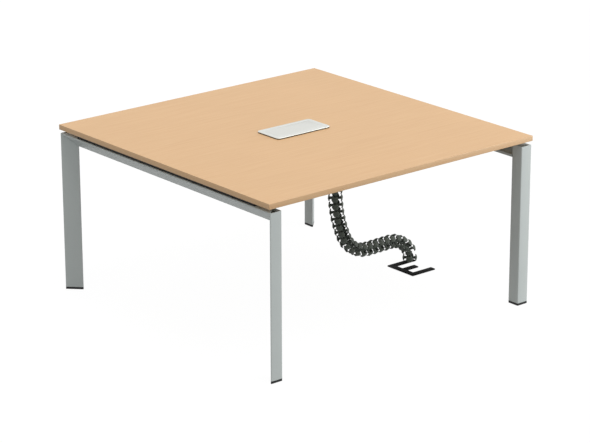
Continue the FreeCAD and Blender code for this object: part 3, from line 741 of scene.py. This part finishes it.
def wood_screws():
    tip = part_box("top_screws")[1].z
    plain = wood_screw(FRAME_TOP - sizes().tube_wall, tip)
    copies = [copy_of(plain, "screw", move((x * SCREW_X, y * place, 0)))
              for x in (-1, 1) for y in (-1, 1) for place in (SCREW_NEAR, SCREW_FAR)]
    hanger = centre("spine_hanger")
    short = wood_screw(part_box("spine_hanger")[1].z - HANGER_PLATE, tip)
    for turn in (90, 210, 330):
        angle = math.radians(turn)
        spot = (hanger.x + HANGER_SCREWS * math.cos(angle), hanger.y + HANGER_SCREWS * math.sin(angle), 0)
        copies.append(copy_of(short, "screw", move(spot)))
    discard(plain)
    discard(short)
    finish(joined("pan_head_screws", copies), "zinc_steel", "table", "top_screws")


# Feet


# A stud stands at the middle of the circle that fits inside its leg's outline.
STUD_IN = TUBE_SIDE * (1 - math.sqrt(0.5))
STUD_X, STUD_Y = -FRAME_IN - STUD_IN, -FRAME_OUT + STUD_IN
STUD_RADIUS, STUD_HEAD, STUD_HEAD_RADIUS, PAD_HEIGHT = mm(4, 4, 6.5, 7)


def plugs():
    stem_height, stem_play, bore_play = mm(30, 0.2, 0.05)
    plug = corner_prism("plug", PAD_HEIGHT, LEG_BOTTOM)
    stem = corner_prism("plug_stem", LEG_BOTTOM, LEG_BOTTOM + stem_height, sizes().tube_wall + stem_play)
    fuse(plug, stem)
    cut(plug, rod("bore", STUD_RADIUS + bore_play, (STUD_X, STUD_Y, 0), 2 * stem_height, sides=24))
    finish(joined("moulded_leg_plugs", four(plug)), "black_plastic", "table", "leg_plugs")


def foot_pads():
    """Pads with a softened upper edge, a grip rim below and the hole that the key goes through."""
    ease, rim, dent = mm(0.8, 2.5, 0.8)
    seat, room_play, key_hole = mm(2.65, 0.3, 5.2)
    pad = corner_prism("left_front_foot_pad", 0, PAD_HEIGHT)
    bevel(pad, ease, 2, level(2, PAD_HEIGHT))
    sink(pad, facing((0, 0, -1)), rim, -dent)
    cut(pad, rod("room", STUD_HEAD_RADIUS + room_play, (STUD_X, STUD_Y, seat), PAD_HEIGHT))
    cut(pad, rod("key_hole", key_hole, (STUD_X, STUD_Y, -PAD_HEIGHT), 2 * PAD_HEIGHT))
    for corner, piece in each_corner(pad, "foot_pad"):
        finish(piece, "black_plastic", f"{corner}_foot", f"{corner}_foot")


def thread(radius, depth, start, turns):
    """A ridge of three sides wound round the Z axis, with closed ends."""
    pitch = sizes().thread_pitch
    root, flank, steps = -0.2 * MM, 0.48 * pitch, 14
    ridge = begin("thread", bpy.ops.mesh.primitive_circle_add, vertices=3, radius=depth, fill_type="NOTHING",
                  rotation=TURNED["Y"])
    for vertex, (x, z) in zip(ridge.data.vertices, ((depth, 0), (root, -flank), (root, flank))):
        vertex.co = (radius - depth + x, 0, start + z)
    apply(ridge, "SCREW", axis="Z", angle=2 * math.pi, screw_offset=pitch, iterations=turns, steps=steps,
          render_steps=steps, use_merge_vertices=True, use_smooth_shade=True)
    pick(ridge, "edges", lambda edge: edge.is_boundary)
    bpy.ops.mesh.edge_face_add()
    bpy.ops.mesh.select_all(action="SELECT")
    bpy.ops.mesh.normals_make_consistent(inside=False)
    object_mode()
    return ridge


def studs():
    """Threaded studs: a round head with a hexagon recess below, a core and a wound thread."""
    low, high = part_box("left_front_stud")
    neck = low.z + STUD_HEAD
    ease, recess_radius, recess_rest = mm(0.5, 2.9, 1)
    depth, run_in, turns_off = 0.65 * MM, 1.2 * MM, 2
    head = rod("stud", STUD_HEAD_RADIUS, (0, 0, low.z), STUD_HEAD, sides=36)
    bevel(head, ease, 2, level(2, low.z, neck))
    cut(head, rod("hexagon", recess_radius, (0, 0, low.z - recess_rest), STUD_HEAD, sides=6))
    core = rod("core", STUD_RADIUS - depth, (0, 0, neck), high.z - neck, sides=24)
    turns = int((high.z - neck) / sizes().thread_pitch) - turns_off
    stud = joined("stud", [head, core, thread(STUD_RADIUS, depth, neck + run_in, turns)])
    for corner, (x, y) in CORNERS.items():
        place = move((x * STUD_X, y * STUD_Y, 0))
        piece = copy_of(stud, f"{corner}_threaded_stud", place)
        finish(piece, "zinc_steel", f"{corner}_stud", f"{corner}_stud")
    discard(stud)


# Power box


def bezel():
    """A frame round the lid, raised on a black seal whose dark line under its rim is painted shade."""
    low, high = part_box("box_bezel")
    lid_low, lid_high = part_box("box_lid")
    gap, ledge, rebate, hinge = mm(1, 3, 4, 8)
    ease, near = mm(0.4, 0.1)
    shade_seal_top = low.z + sizes().shade_seal_height

    def rounded(name, inset, bottom, top):
        plate = block(name, (low.x + inset, low.y + inset, bottom), (high.x - inset, high.y - inset, top))
        bevel(plate, sizes().bezel_corner - inset, 10, along(UP))
        return plate

    ring = rounded("bezel_frame", 0, shade_seal_top, high.z)
    bevel(ring, sizes().bezel_slope, 4, level(2, high.z))
    fuse(ring, rounded("foot", rebate, low.z, shade_seal_top + gap))
    room_low = Vector((lid_low.x - gap, lid_low.y - gap, lid_low.z))
    room_high = Vector((lid_high.x + gap, lid_high.y + gap, high.z + gap))
    cut(ring, block("lid_room", room_low, room_high))
    left, front, right, rear, under = *room_low.xy, *room_high.xy, low.z - gap
    cut(ring, block("well_way", (left + ledge, front + ledge, under), (right - ledge, rear, high.z)))
    cut(ring, block("hinge_way", (left, rear - hinge, under), (right, rear, high.z)))

    def round_the_opening(edge):
        return level(2, high.z)(edge) and all(
            abs(vertex.co.x) < right + near and abs(vertex.co.y) < rear + near for vertex in edge.verts)

    bevel(ring, ease, 2, round_the_opening)
    finish(ring, "bezel_aluminium", "table", "box_bezel")
    # The seal is black so that it paints the shade line under the bezel's rim.
    seal = rounded("bezel_seal", gap, low.z, shade_seal_top)
    cut(seal, rounded("way", rebate, under, high.z))
    finish(seal, "black_plastic", "table")


def lid():
    low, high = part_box("box_lid")
    corner, bore_radius = mm(1.5, 1.55)
    flap = block("hinged_lid", low, high)
    bevel(flap, corner, 4, along(UP))
    bevel(flap, sizes().lid_ease, 3, level(2, high.z))
    rod_low, rod_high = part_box("lid_hinge_rod")
    middle = centre("lid_hinge_rod")
    cut(flap, rod("bore", bore_radius, (rod_low.x, middle.y, middle.z), rod_high.x - rod_low.x, "X", 20))
    finish(flap, "lid_aluminium", "lid", "box_lid")


def outlet(strip, x, y, top):
    """Cuts a round outlet with key faces and pin holes into the strip, and gives its two earth clips."""
    radius, depth, tall = mm(19, 12, 20)
    key_half, key_deep = mm(2.2, 3.5)
    pin_radius, pin_place, pin_depth = mm(2.4, 9.5, 22)
    clip_place, clip_half, clip_deep, clip_ease = mm(17.4, 0.6, 2.4, 0.5)
    clip_foot, clip_top = top - 12.2 * MM, top - 1.5 * MM
    recess = rod("recess", radius, (x, y, top - depth), tall, sides=48)
    for side in (-1, 1):
        cut(recess, post("key", x + side * radius, y, key_half, key_deep, top - tall, top + tall))
    cut(strip, recess)
    clips = []
    for side in (-1, 1):
        pin = (x, y + side * pin_place, top - pin_depth)
        cut(strip, rod("pin_hole", pin_radius, pin, tall, sides=20))
        clip = post("clip", x + side * clip_place, y, clip_half, clip_deep, clip_foot, clip_top)
        bevel(clip, clip_ease, 2, level(2, clip_top))
        clips.append(clip)
    return clips


def port(strip, x, y, top):
    """Cuts a data port into the strip, and gives its metal shell and tongue."""
    half, deep, depth, corner, wall = mm(7.5, 6, 9, 1, 0.5)
    tongue_half, tongue_near, tongue_far = mm(5, 0.5, 2.5)
    shell_top, tongue_top, tongue_ease = top - 0.4 * MM, top - 2 * MM, 0.4 * MM
    foot = top - depth
    cut(strip, post("port", x, y, half, deep, foot, top + depth))
    shell = post("shell", x, y, half, deep, foot, shell_top)
    bevel(shell, corner, 3, along(UP))
    hollow(shell, facing(UP), wall)
    tongue = block("tongue", (x - tongue_half, y + tongue_near, foot + wall),
                   (x + tongue_half, y + tongue_far, tongue_top))
    bevel(tongue, tongue_ease, 1, level(2, tongue_top))
    return [shell, tongue]


def outlet_strip():
    """A moulded strip with three round outlets and two data ports."""
    low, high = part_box("outlet_strip")
    middle = (low.y + high.y) / 2
    ease = 2 * MM
    first_outlet, outlet_pitch = low.x + 23 * MM, 46 * MM
    first_port, port_pitch = high.x - 18 * MM, 24 * MM
    strip = block("outlet_strip_body", low, high)
    bevel(strip, ease, 3, lambda edge: along(UP)(edge) or level(2, high.z)(edge))
    contacts = []
    for number in range(3):
        contacts += outlet(strip, first_outlet + outlet_pitch * number, middle, high.z)
    for number in range(2):
        contacts += port(strip, first_port - port_pitch * number, middle, high.z)
    finish(strip, "strip_plastic", "table", "outlet_strip")
    finish(joined("outlet_contacts", contacts), "zinc_steel", "table")


def carried_nodes():
    """The well, the hinge rod and the clamp bars keep their CAD shape and get their finish."""
    finishes = {"box_well": "black_coat", "lid_hinge_rod": "zinc_steel", "clamp_bars": "zinc_steel"}
    for node, slot in finishes.items():
        coat(frame["nodes"][node], slot)


# Cable spine


# A lobe's place, half width, wall, how far its wings stand back, and the share of its width at its ends.
LOBE_RADIUS, LOBE_HALF, LOBE_WALL, LOBE_BEND = mm(32.5, 15.5, 3, 4)
LOBE_TAPER = 0.7
# How much shorter the lobes are than a link; a web's half thickness, half height and end under a lobe's face.
LINK_GAP, WEB_HALF, WEB_RISE, WEB_SHORT = mm(8, 1.5, 6, 3.5)
# Half the hub's length, its radius, its stem's half width, and the bead's radius and play in it.
HUB, HUB_RADIUS, STEM_HALF, BEAD_RADIUS, BEAD_PLAY = mm(8, 6.5, 4, 3.5, 0.1)
# A neck's free length above its bead, its half width and its way into the stem, and the stem's inset.
NECK, NECK_HALF, OVERLAP, STEM_INSET = mm(6, 2, 2, 0.4)


def spine_places():
    """The joints' places from the hanger down to the foot, in metres."""
    places = {joint["name"]: Vector(joint["pos_m"]) for joint in frame["joints"] if "pos_m" in joint}
    inner = sorted(name for name in places if name.startswith("spine_joint_"))
    return [places[name] for name in ["spine_top_joint", *inner, "spine_foot_joint"]]


def spun(pattern, turns):
    """Copies of a pattern, turned about the spine by so many degrees."""
    copies = [copy_of(pattern, pattern.name, Matrix.Rotation(math.radians(turn), 4, "Z")) for turn in turns]
    discard(pattern)
    return copies


def lobes(middle, height):
    """Four plates bent round the spine, which narrow and stand back towards both ends."""
    half, fold, front = LOBE_HALF, LOBE_HALF / 2, -LOBE_RADIUS
    ease, sharp = 0.6 * MM, math.radians(18)
    lobe = block("lobe", (-half, front, middle - height / 2), (half, front + LOBE_WALL, middle + height / 2))
    for place in (-fold, fold):
        split(lobe, 0, place)
    split(lobe, 2, middle)
    pick(lobe, "edges", lambda edge: all(same(abs(vertex.co.x), half) for vertex in edge.verts))
    bpy.ops.transform.translate(value=(0, LOBE_BEND, 0))
    pick(lobe, "edges", level(2, middle - height / 2, middle + height / 2))
    bpy.ops.transform.resize(value=(LOBE_TAPER, 1, 1), center_override=(0, front, middle))
    bpy.ops.transform.translate(value=(0, sizes().lobe_slope, 0))
    object_mode()
    apply(lobe, "BEVEL", width=ease, segments=1, limit_method="ANGLE", angle_limit=sharp)
    return spun(lobe, (45, 135, 225, 315))


def webs(middle):
    """A cross of two webs that reach out to the lobes."""
    reach = LOBE_RADIUS - WEB_SHORT
    return spun(post("web", 0, 0, reach, WEB_HALF, middle - WEB_RISE, middle + WEB_RISE), (45, -45))


def hub(name, foot):
    """The round wall of a bead's socket at the origin, on a stem that goes down to the foot."""
    wall = rod(name, HUB_RADIUS, (0, -HUB, 0), 2 * HUB, "Y", 28)
    fuse(wall, post("stem", 0, 0, STEM_HALF, HUB - STEM_INSET, foot, 0))
    return wall


def cut_socket(obj, tilt):
    """Cuts the bead's seat and the tilted mouth that lets its neck swing."""
    mouth_half, mouth_top, mouth_share = 2.5 * MM, 2 * HUB_RADIUS, 3.1
    cut(obj, rod("seat", BEAD_RADIUS + BEAD_PLAY, (0, -2 * HUB, 0), 4 * HUB, "Y", 28))
    mouth = post("mouth", 0, 0, mouth_half, 2 * HUB, 0, mouth_top)
    flare(mouth, mouth_share, (0, 0, mouth_top))
    mouth.data.transform(Matrix.Rotation(-tilt, 4, "Y"))
    cut(obj, mouth)


def bead(obj, place):
    """Adds a bead across the spine, under a neck."""
    x, y, z = place
    fuse(obj, post("neck", x, y, NECK_HALF, HUB - 2 * STEM_INSET, z, z + NECK + OVERLAP))
    fuse(obj, rod("bead", BEAD_RADIUS, (x, y - HUB, z), 2 * HUB, "Y", 28))


def lobed(name, foot, middle, pitch, tilt, below=None):
    """A hub with its socket, webs and lobes, and with the next bead below where a place is given for it."""
    piece = hub(name, foot)
    for web in webs(middle):
        fuse(piece, web)
    if below:
        bead(piece, below)
    cut_socket(piece, tilt)
    for lobe in lobes(middle, pitch - LINK_GAP):
        fuse(piece, lobe)
    return piece


def lean(upper, lower):
    """How far the line from one joint to the next leans from the plumb line."""
    fall = lower - upper
    return math.atan2(fall.x, -fall.z)


def spine_links():
    places = spine_places()
    pitch = (places[1] - places[0]).length
    link = lobed("link", -pitch + NECK, -pitch / 2, pitch, 0, below=(0, 0, -pitch))
    for number, (upper, lower) in enumerate(zip(places, places[1:]), start=1):
        turn = Matrix.Rotation(-lean(upper, lower), 4, "Y")
        piece = copy_of(link, f"spine_lobed_link_{number:02d}", move(upper) @ turn)
        node = f"spine_link_{number:02d}"
        finish(piece, "spine_plastic", node, node, smooth=25)
    discard(link)


def spine_clip():
    """The lobed socket that stands on the foot plate and takes the last link's bead."""
    places = spine_places()
    last = places[-1]
    pitch = (places[1] - places[0]).length
    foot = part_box("spine_base_plate")[1].z - last.z
    lobe_height, sole_radius, sole_height, sole_ease = mm(19, 14, 3, 1)
    clip = lobed("spine_foot_clip", foot, lobe_height - last.z, pitch, lean(places[-2], last))
    sole = rod("sole", sole_radius, (0, 0, foot), sole_height, sides=40)
    bevel(sole, sole_ease, 2, level(2, foot + sole_height))
    fuse(clip, sole)
    clip.data.transform(move(last))
    finish(clip, "spine_plastic", "spine_foot", "spine_base_clip", smooth=25)


def spine_hanger():
    """A round plate under the top with a tapered stem that ends in the first bead."""
    first = spine_places()[0]
    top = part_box("spine_hanger")[1].z
    radius, ease, sunk, stem_share = 35 * MM, 1.2 * MM, 1 * MM, 3.2
    plate = rod("spine_top_hanger", radius, (first.x, first.y, top - HANGER_PLATE), HANGER_PLATE, sides=64)
    bevel(plate, ease, 3, level(2, top - HANGER_PLATE))
    stem = post("stem", first.x, first.y, STEM_HALF, HUB - STEM_INSET, first.z + NECK, top - sunk)
    flare(stem, stem_share, (first.x, first.y, top))
    fuse(plate, stem)
    bead(plate, first)
    finish(plate, "spine_plastic", "table", "spine_hanger")


def foot_plate():
    """A cut steel plate: a bar with three prongs drawn out of it, its edges eased."""
    low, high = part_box("spine_base_plate")
    prong, middle_reach, last_reach, corner = mm(28, 97, 133, 2)
    middle = (low.y + high.y) / 2
    prongs = (
        (high.y - prong, high.y, high.x),
        (middle - prong / 2, middle + prong / 2, low.x + middle_reach),
        (low.y, low.y + prong, low.x + last_reach),
    )
    plate = block("spine_foot_plate", low, (low.x + prong, high.y, high.z))
    for place in (high.y - prong, middle + prong / 2, middle - prong / 2, low.y + prong):
        split(plate, 1, place)
    for from_y, to_y, tip in prongs:
        edit(plate, "faces", between(RIGHT, 1, from_y, to_y), bpy.ops.mesh.extrude_region_move,
             TRANSFORM_OT_translate={"value": (tip - low.x - prong, 0, 0)})
    edit(plate, "faces", every, bpy.ops.mesh.dissolve_limited, angle_limit=math.radians(1))
    bevel(plate, corner, 3, along(UP))
    bevel(plate, sizes().plate_ease, 2, level(2, high.z))
    finish(plate, "black_coat", "spine_foot", "spine_base_plate")


# Stage


WHITE = (1, 1, 1, 1)


def seen(tree):
    """One where the camera looks, straight, in a reflection or through glass, and none for other light."""
    path = add(tree, "ShaderNodeLightPath").outputs
    mask = path["Is Camera Ray"]
    for other in ("Is Glossy Ray", "Is Transmission Ray"):
        mask = add(tree, "ShaderNodeMath", {0: mask, 1: path[other]}, operation="MAXIMUM").outputs[0]
    return mask


def floor():
    """A wide floor, white to the camera and in reflections, with a faint shadow, and clear from below."""
    wide, grey, whiteness, glow = 60, 0.26, 0.82, 1.18
    ground = begin("studio_floor", bpy.ops.mesh.primitive_plane_add, size=wide, location=(0, 0, -0.5 * MM))
    inputs = {"Base Color": (grey, grey, grey, 1), "Roughness": 0.9}
    material, tree, shader, _ = new_material("studio_floor_paper", inputs)
    share = add(tree, "ShaderNodeMath", {0: seen(tree), 1: whiteness}, operation="MULTIPLY").outputs[0]
    white = add(tree, "ShaderNodeEmission", {"Color": WHITE, "Strength": glow}).outputs["Emission"]
    paper = shader.outputs["BSDF"]
    mixed = add(tree, "ShaderNodeMixShader", {0: share, 1: paper, 2: white}).outputs["Shader"]
    side = add(tree, "ShaderNodeNewGeometry").outputs["Backfacing"]
    clear = add(tree, "ShaderNodeBsdfTransparent").outputs["BSDF"]
    one_sided = add(tree, "ShaderNodeMixShader", {0: side, 1: mixed, 2: clear})
    output = next(node for node in tree.nodes if node.type == "OUTPUT_MATERIAL")
    tree.links.new(one_sided.outputs["Shader"], output.inputs["Surface"])
    ground.data.materials.append(material)
    ground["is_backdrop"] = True


def surroundings():
    """An even room light, and white where the camera and reflections look past the table."""
    room_light, backdrop = 0.6, 1.0
    world = bpy.data.worlds.new("studio_room")
    bpy.context.scene.world = world
    world.use_nodes = True
    tree = world.node_tree
    tree.nodes.clear()
    room, white = (add(tree, "ShaderNodeBackground", {"Color": WHITE, "Strength": strength}).outputs[0]
                   for strength in (room_light, backdrop))
    mixed = add(tree, "ShaderNodeMixShader", {0: seen(tree), 1: room, 2: white})
    add(tree, "ShaderNodeOutputWorld", {"Surface": mixed.outputs["Shader"]})


def lamp(name, kind, power, direction):
    """A lamp that shines along a direction."""
    light = bpy.data.lights.new(name, kind)
    light.energy = power
    obj = bpy.data.objects.new(name, light)
    bpy.context.scene.collection.objects.link(obj)
    obj.rotation_euler = Vector(direction).to_track_quat("-Z", "Y").to_euler()
    return obj


def lamps():
    """A soft far lamp overhead, and a square one beside the table, turned to the right front leg."""
    key = lamp("key_lamp", "SUN", 1.3, (-0.12, 0.38, -0.92))
    key.data.angle = math.radians(40)
    place, leg = Vector((2.6, -2.2, 1.0)), Vector((0.67, -0.67, 0.35))
    fill = lamp("fill_lamp", "AREA", 30, leg - place)
    fill.location = place
    fill.data.size = 1.5


def camera():
    """A long lens on the table's left front corner, its place and turn fitted to the photograph."""
    data = bpy.data.cameras.new("view_camera")
    data.sensor_width, data.sensor_fit = 36, "HORIZONTAL"
    data.lens, data.clip_end = 150.08, 100
    obj = bpy.data.objects.new("view_camera", data)
    bpy.context.scene.collection.objects.link(obj)
    right = Vector((0.76987632, -0.63818638, -0.00293105))
    up = Vector((0.2068892, 0.24523088, 0.94713181))
    back = Vector((-0.60372784, -0.72978076, 0.32083132))
    turn = Matrix((right, up, back)).transposed().to_4x4()
    obj.matrix_world = move((-6.25181, -7.56262, 3.65692)) @ turn
    bpy.context.scene.camera = obj


def plain_colours():
    bpy.context.scene.view_settings.view_transform = "Standard"


# Operators, one for the stage and one for each group of pieces


class Step:
    """What every operator does: it runs its functions in turn"""
    makes = ()

    def execute(self, context):
        for make in self.makes:
            make()
        return {"FINISHED"}


class MEETING_TABLE_OT_stage(Step, bpy.types.Operator):
    """Set up the floor, the room, the lamps and the camera"""
    bl_idname = "meeting_table.stage"
    bl_label = "Studio stage"
    makes = (floor, surroundings, lamps, camera, plain_colours)


class MEETING_TABLE_OT_top(Step, bpy.types.Operator):
    """Model the top board and its edge bands"""
    bl_idname = "meeting_table.top"
    bl_label = "Top and edge bands"
    makes = (top_board, edge_bands)


class MEETING_TABLE_OT_side_frames(Step, bpy.types.Operator):
    """Model the legs and rails of three-sided tube"""
    bl_idname = "meeting_table.side_frames"
    bl_label = "Side frames"
    makes = (legs, rails)


class MEETING_TABLE_OT_beams(Step, bpy.types.Operator):
    """Model the cross beams and their end plates"""
    bl_idname = "meeting_table.beams"
    bl_label = "Cross beams"
    makes = (beams, end_plates)


class MEETING_TABLE_OT_fasteners(Step, bpy.types.Operator):
    """Model the spacer strips, wood screws and bolts"""
    bl_idname = "meeting_table.fasteners"
    bl_label = "Strips, screws and bolts"
    makes = (spacer_and_shade_strips, wood_screws, beam_bolts)


class MEETING_TABLE_OT_feet(Step, bpy.types.Operator):
    """Model the leg plugs, foot pads and threaded studs"""
    bl_idname = "meeting_table.feet"
    bl_label = "Levelling feet"
    makes = (plugs, foot_pads, studs)


class MEETING_TABLE_OT_power_box(Step, bpy.types.Operator):
    """Model the bezel, lid and outlet strip, and finish the nodes that keep their CAD shape"""
    bl_idname = "meeting_table.power_box"
    bl_label = "Power box"
    makes = (bezel, lid, outlet_strip, carried_nodes)


class MEETING_TABLE_OT_spine(Step, bpy.types.Operator):
    """Model the cable spine's links, hanger, clip and foot plate"""
    bl_idname = "meeting_table.spine"
    bl_label = "Cable spine"
    makes = (spine_hanger, spine_links, spine_clip, foot_plate)


# In their order above.
STEPS = tuple(Step.__subclasses__())


class MEETING_TABLE_PT_panel(bpy.types.Panel):
    """Sizes, colours and steps of the table"""
    bl_label = "Meeting table"
    bl_idname = "MEETING_TABLE_PT_panel"
    bl_space_type = "VIEW_3D"
    bl_region_type = "UI"
    bl_category = "Meeting table"

    def draw(self, context):
        for group in (context.scene.table_sizes, context.scene.table_colours):
            column = self.layout.column()
            for name in group.__annotations__:
                column.prop(group, name)
        for step in STEPS:
            self.layout.operator(step.bl_idname)


CLASSES = (TableSizes, TableColours, *STEPS, MEETING_TABLE_PT_panel)


def register():
    for item in CLASSES:
        bpy.utils.register_class(item)
    bpy.types.Scene.table_sizes = bpy.props.PointerProperty(type=TableSizes)
    bpy.types.Scene.table_colours = bpy.props.PointerProperty(type=TableColours)


def unregister():
    del bpy.types.Scene.table_colours
    del bpy.types.Scene.table_sizes
    for item in reversed(CLASSES):
        bpy.utils.unregister_class(item)


def main():
    register()
    for step in STEPS:
        group, name = step.bl_idname.split(".")
        getattr(getattr(bpy.ops, group), name)()
    boxes = {"cad": CAD_BOX, "visual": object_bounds()}
    {name: [list(corner) for corner in box] for name, box in boxes.items()}


if __name__ == "__main__":
    main()
